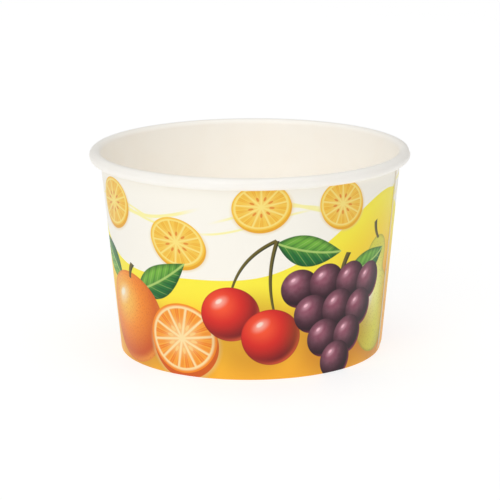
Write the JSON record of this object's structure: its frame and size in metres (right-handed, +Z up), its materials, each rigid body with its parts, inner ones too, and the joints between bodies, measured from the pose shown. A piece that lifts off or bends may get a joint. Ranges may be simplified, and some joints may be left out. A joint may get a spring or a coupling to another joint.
{
  "type": "paper dessert cup",
  "caption": "Tapered paper dessert cup with a rolled rim, a lapped side seam and a recessed base disc sealed into the hem of its foot.",
  "frame": {"origin": "on the table, under the middle of the cup's foot", "axes": "+Z up along the cup's axis, -Y towards the front of the print, +X to the right as seen from the front"},
  "size_m": [0.095, 0.095, 0.0605],
  "materials": {
    "printed_board": "coated cup board with a colour print outside and a semi-gloss cream coating on the food side",
    "base_board": "coated cream board, semi-gloss on the food side, uncoated and matt underneath"
  },
  "bodies": {
    "root": {"side_wall": "printed_board", "base_disc": "base_board"}
  },
  "joints": []
}
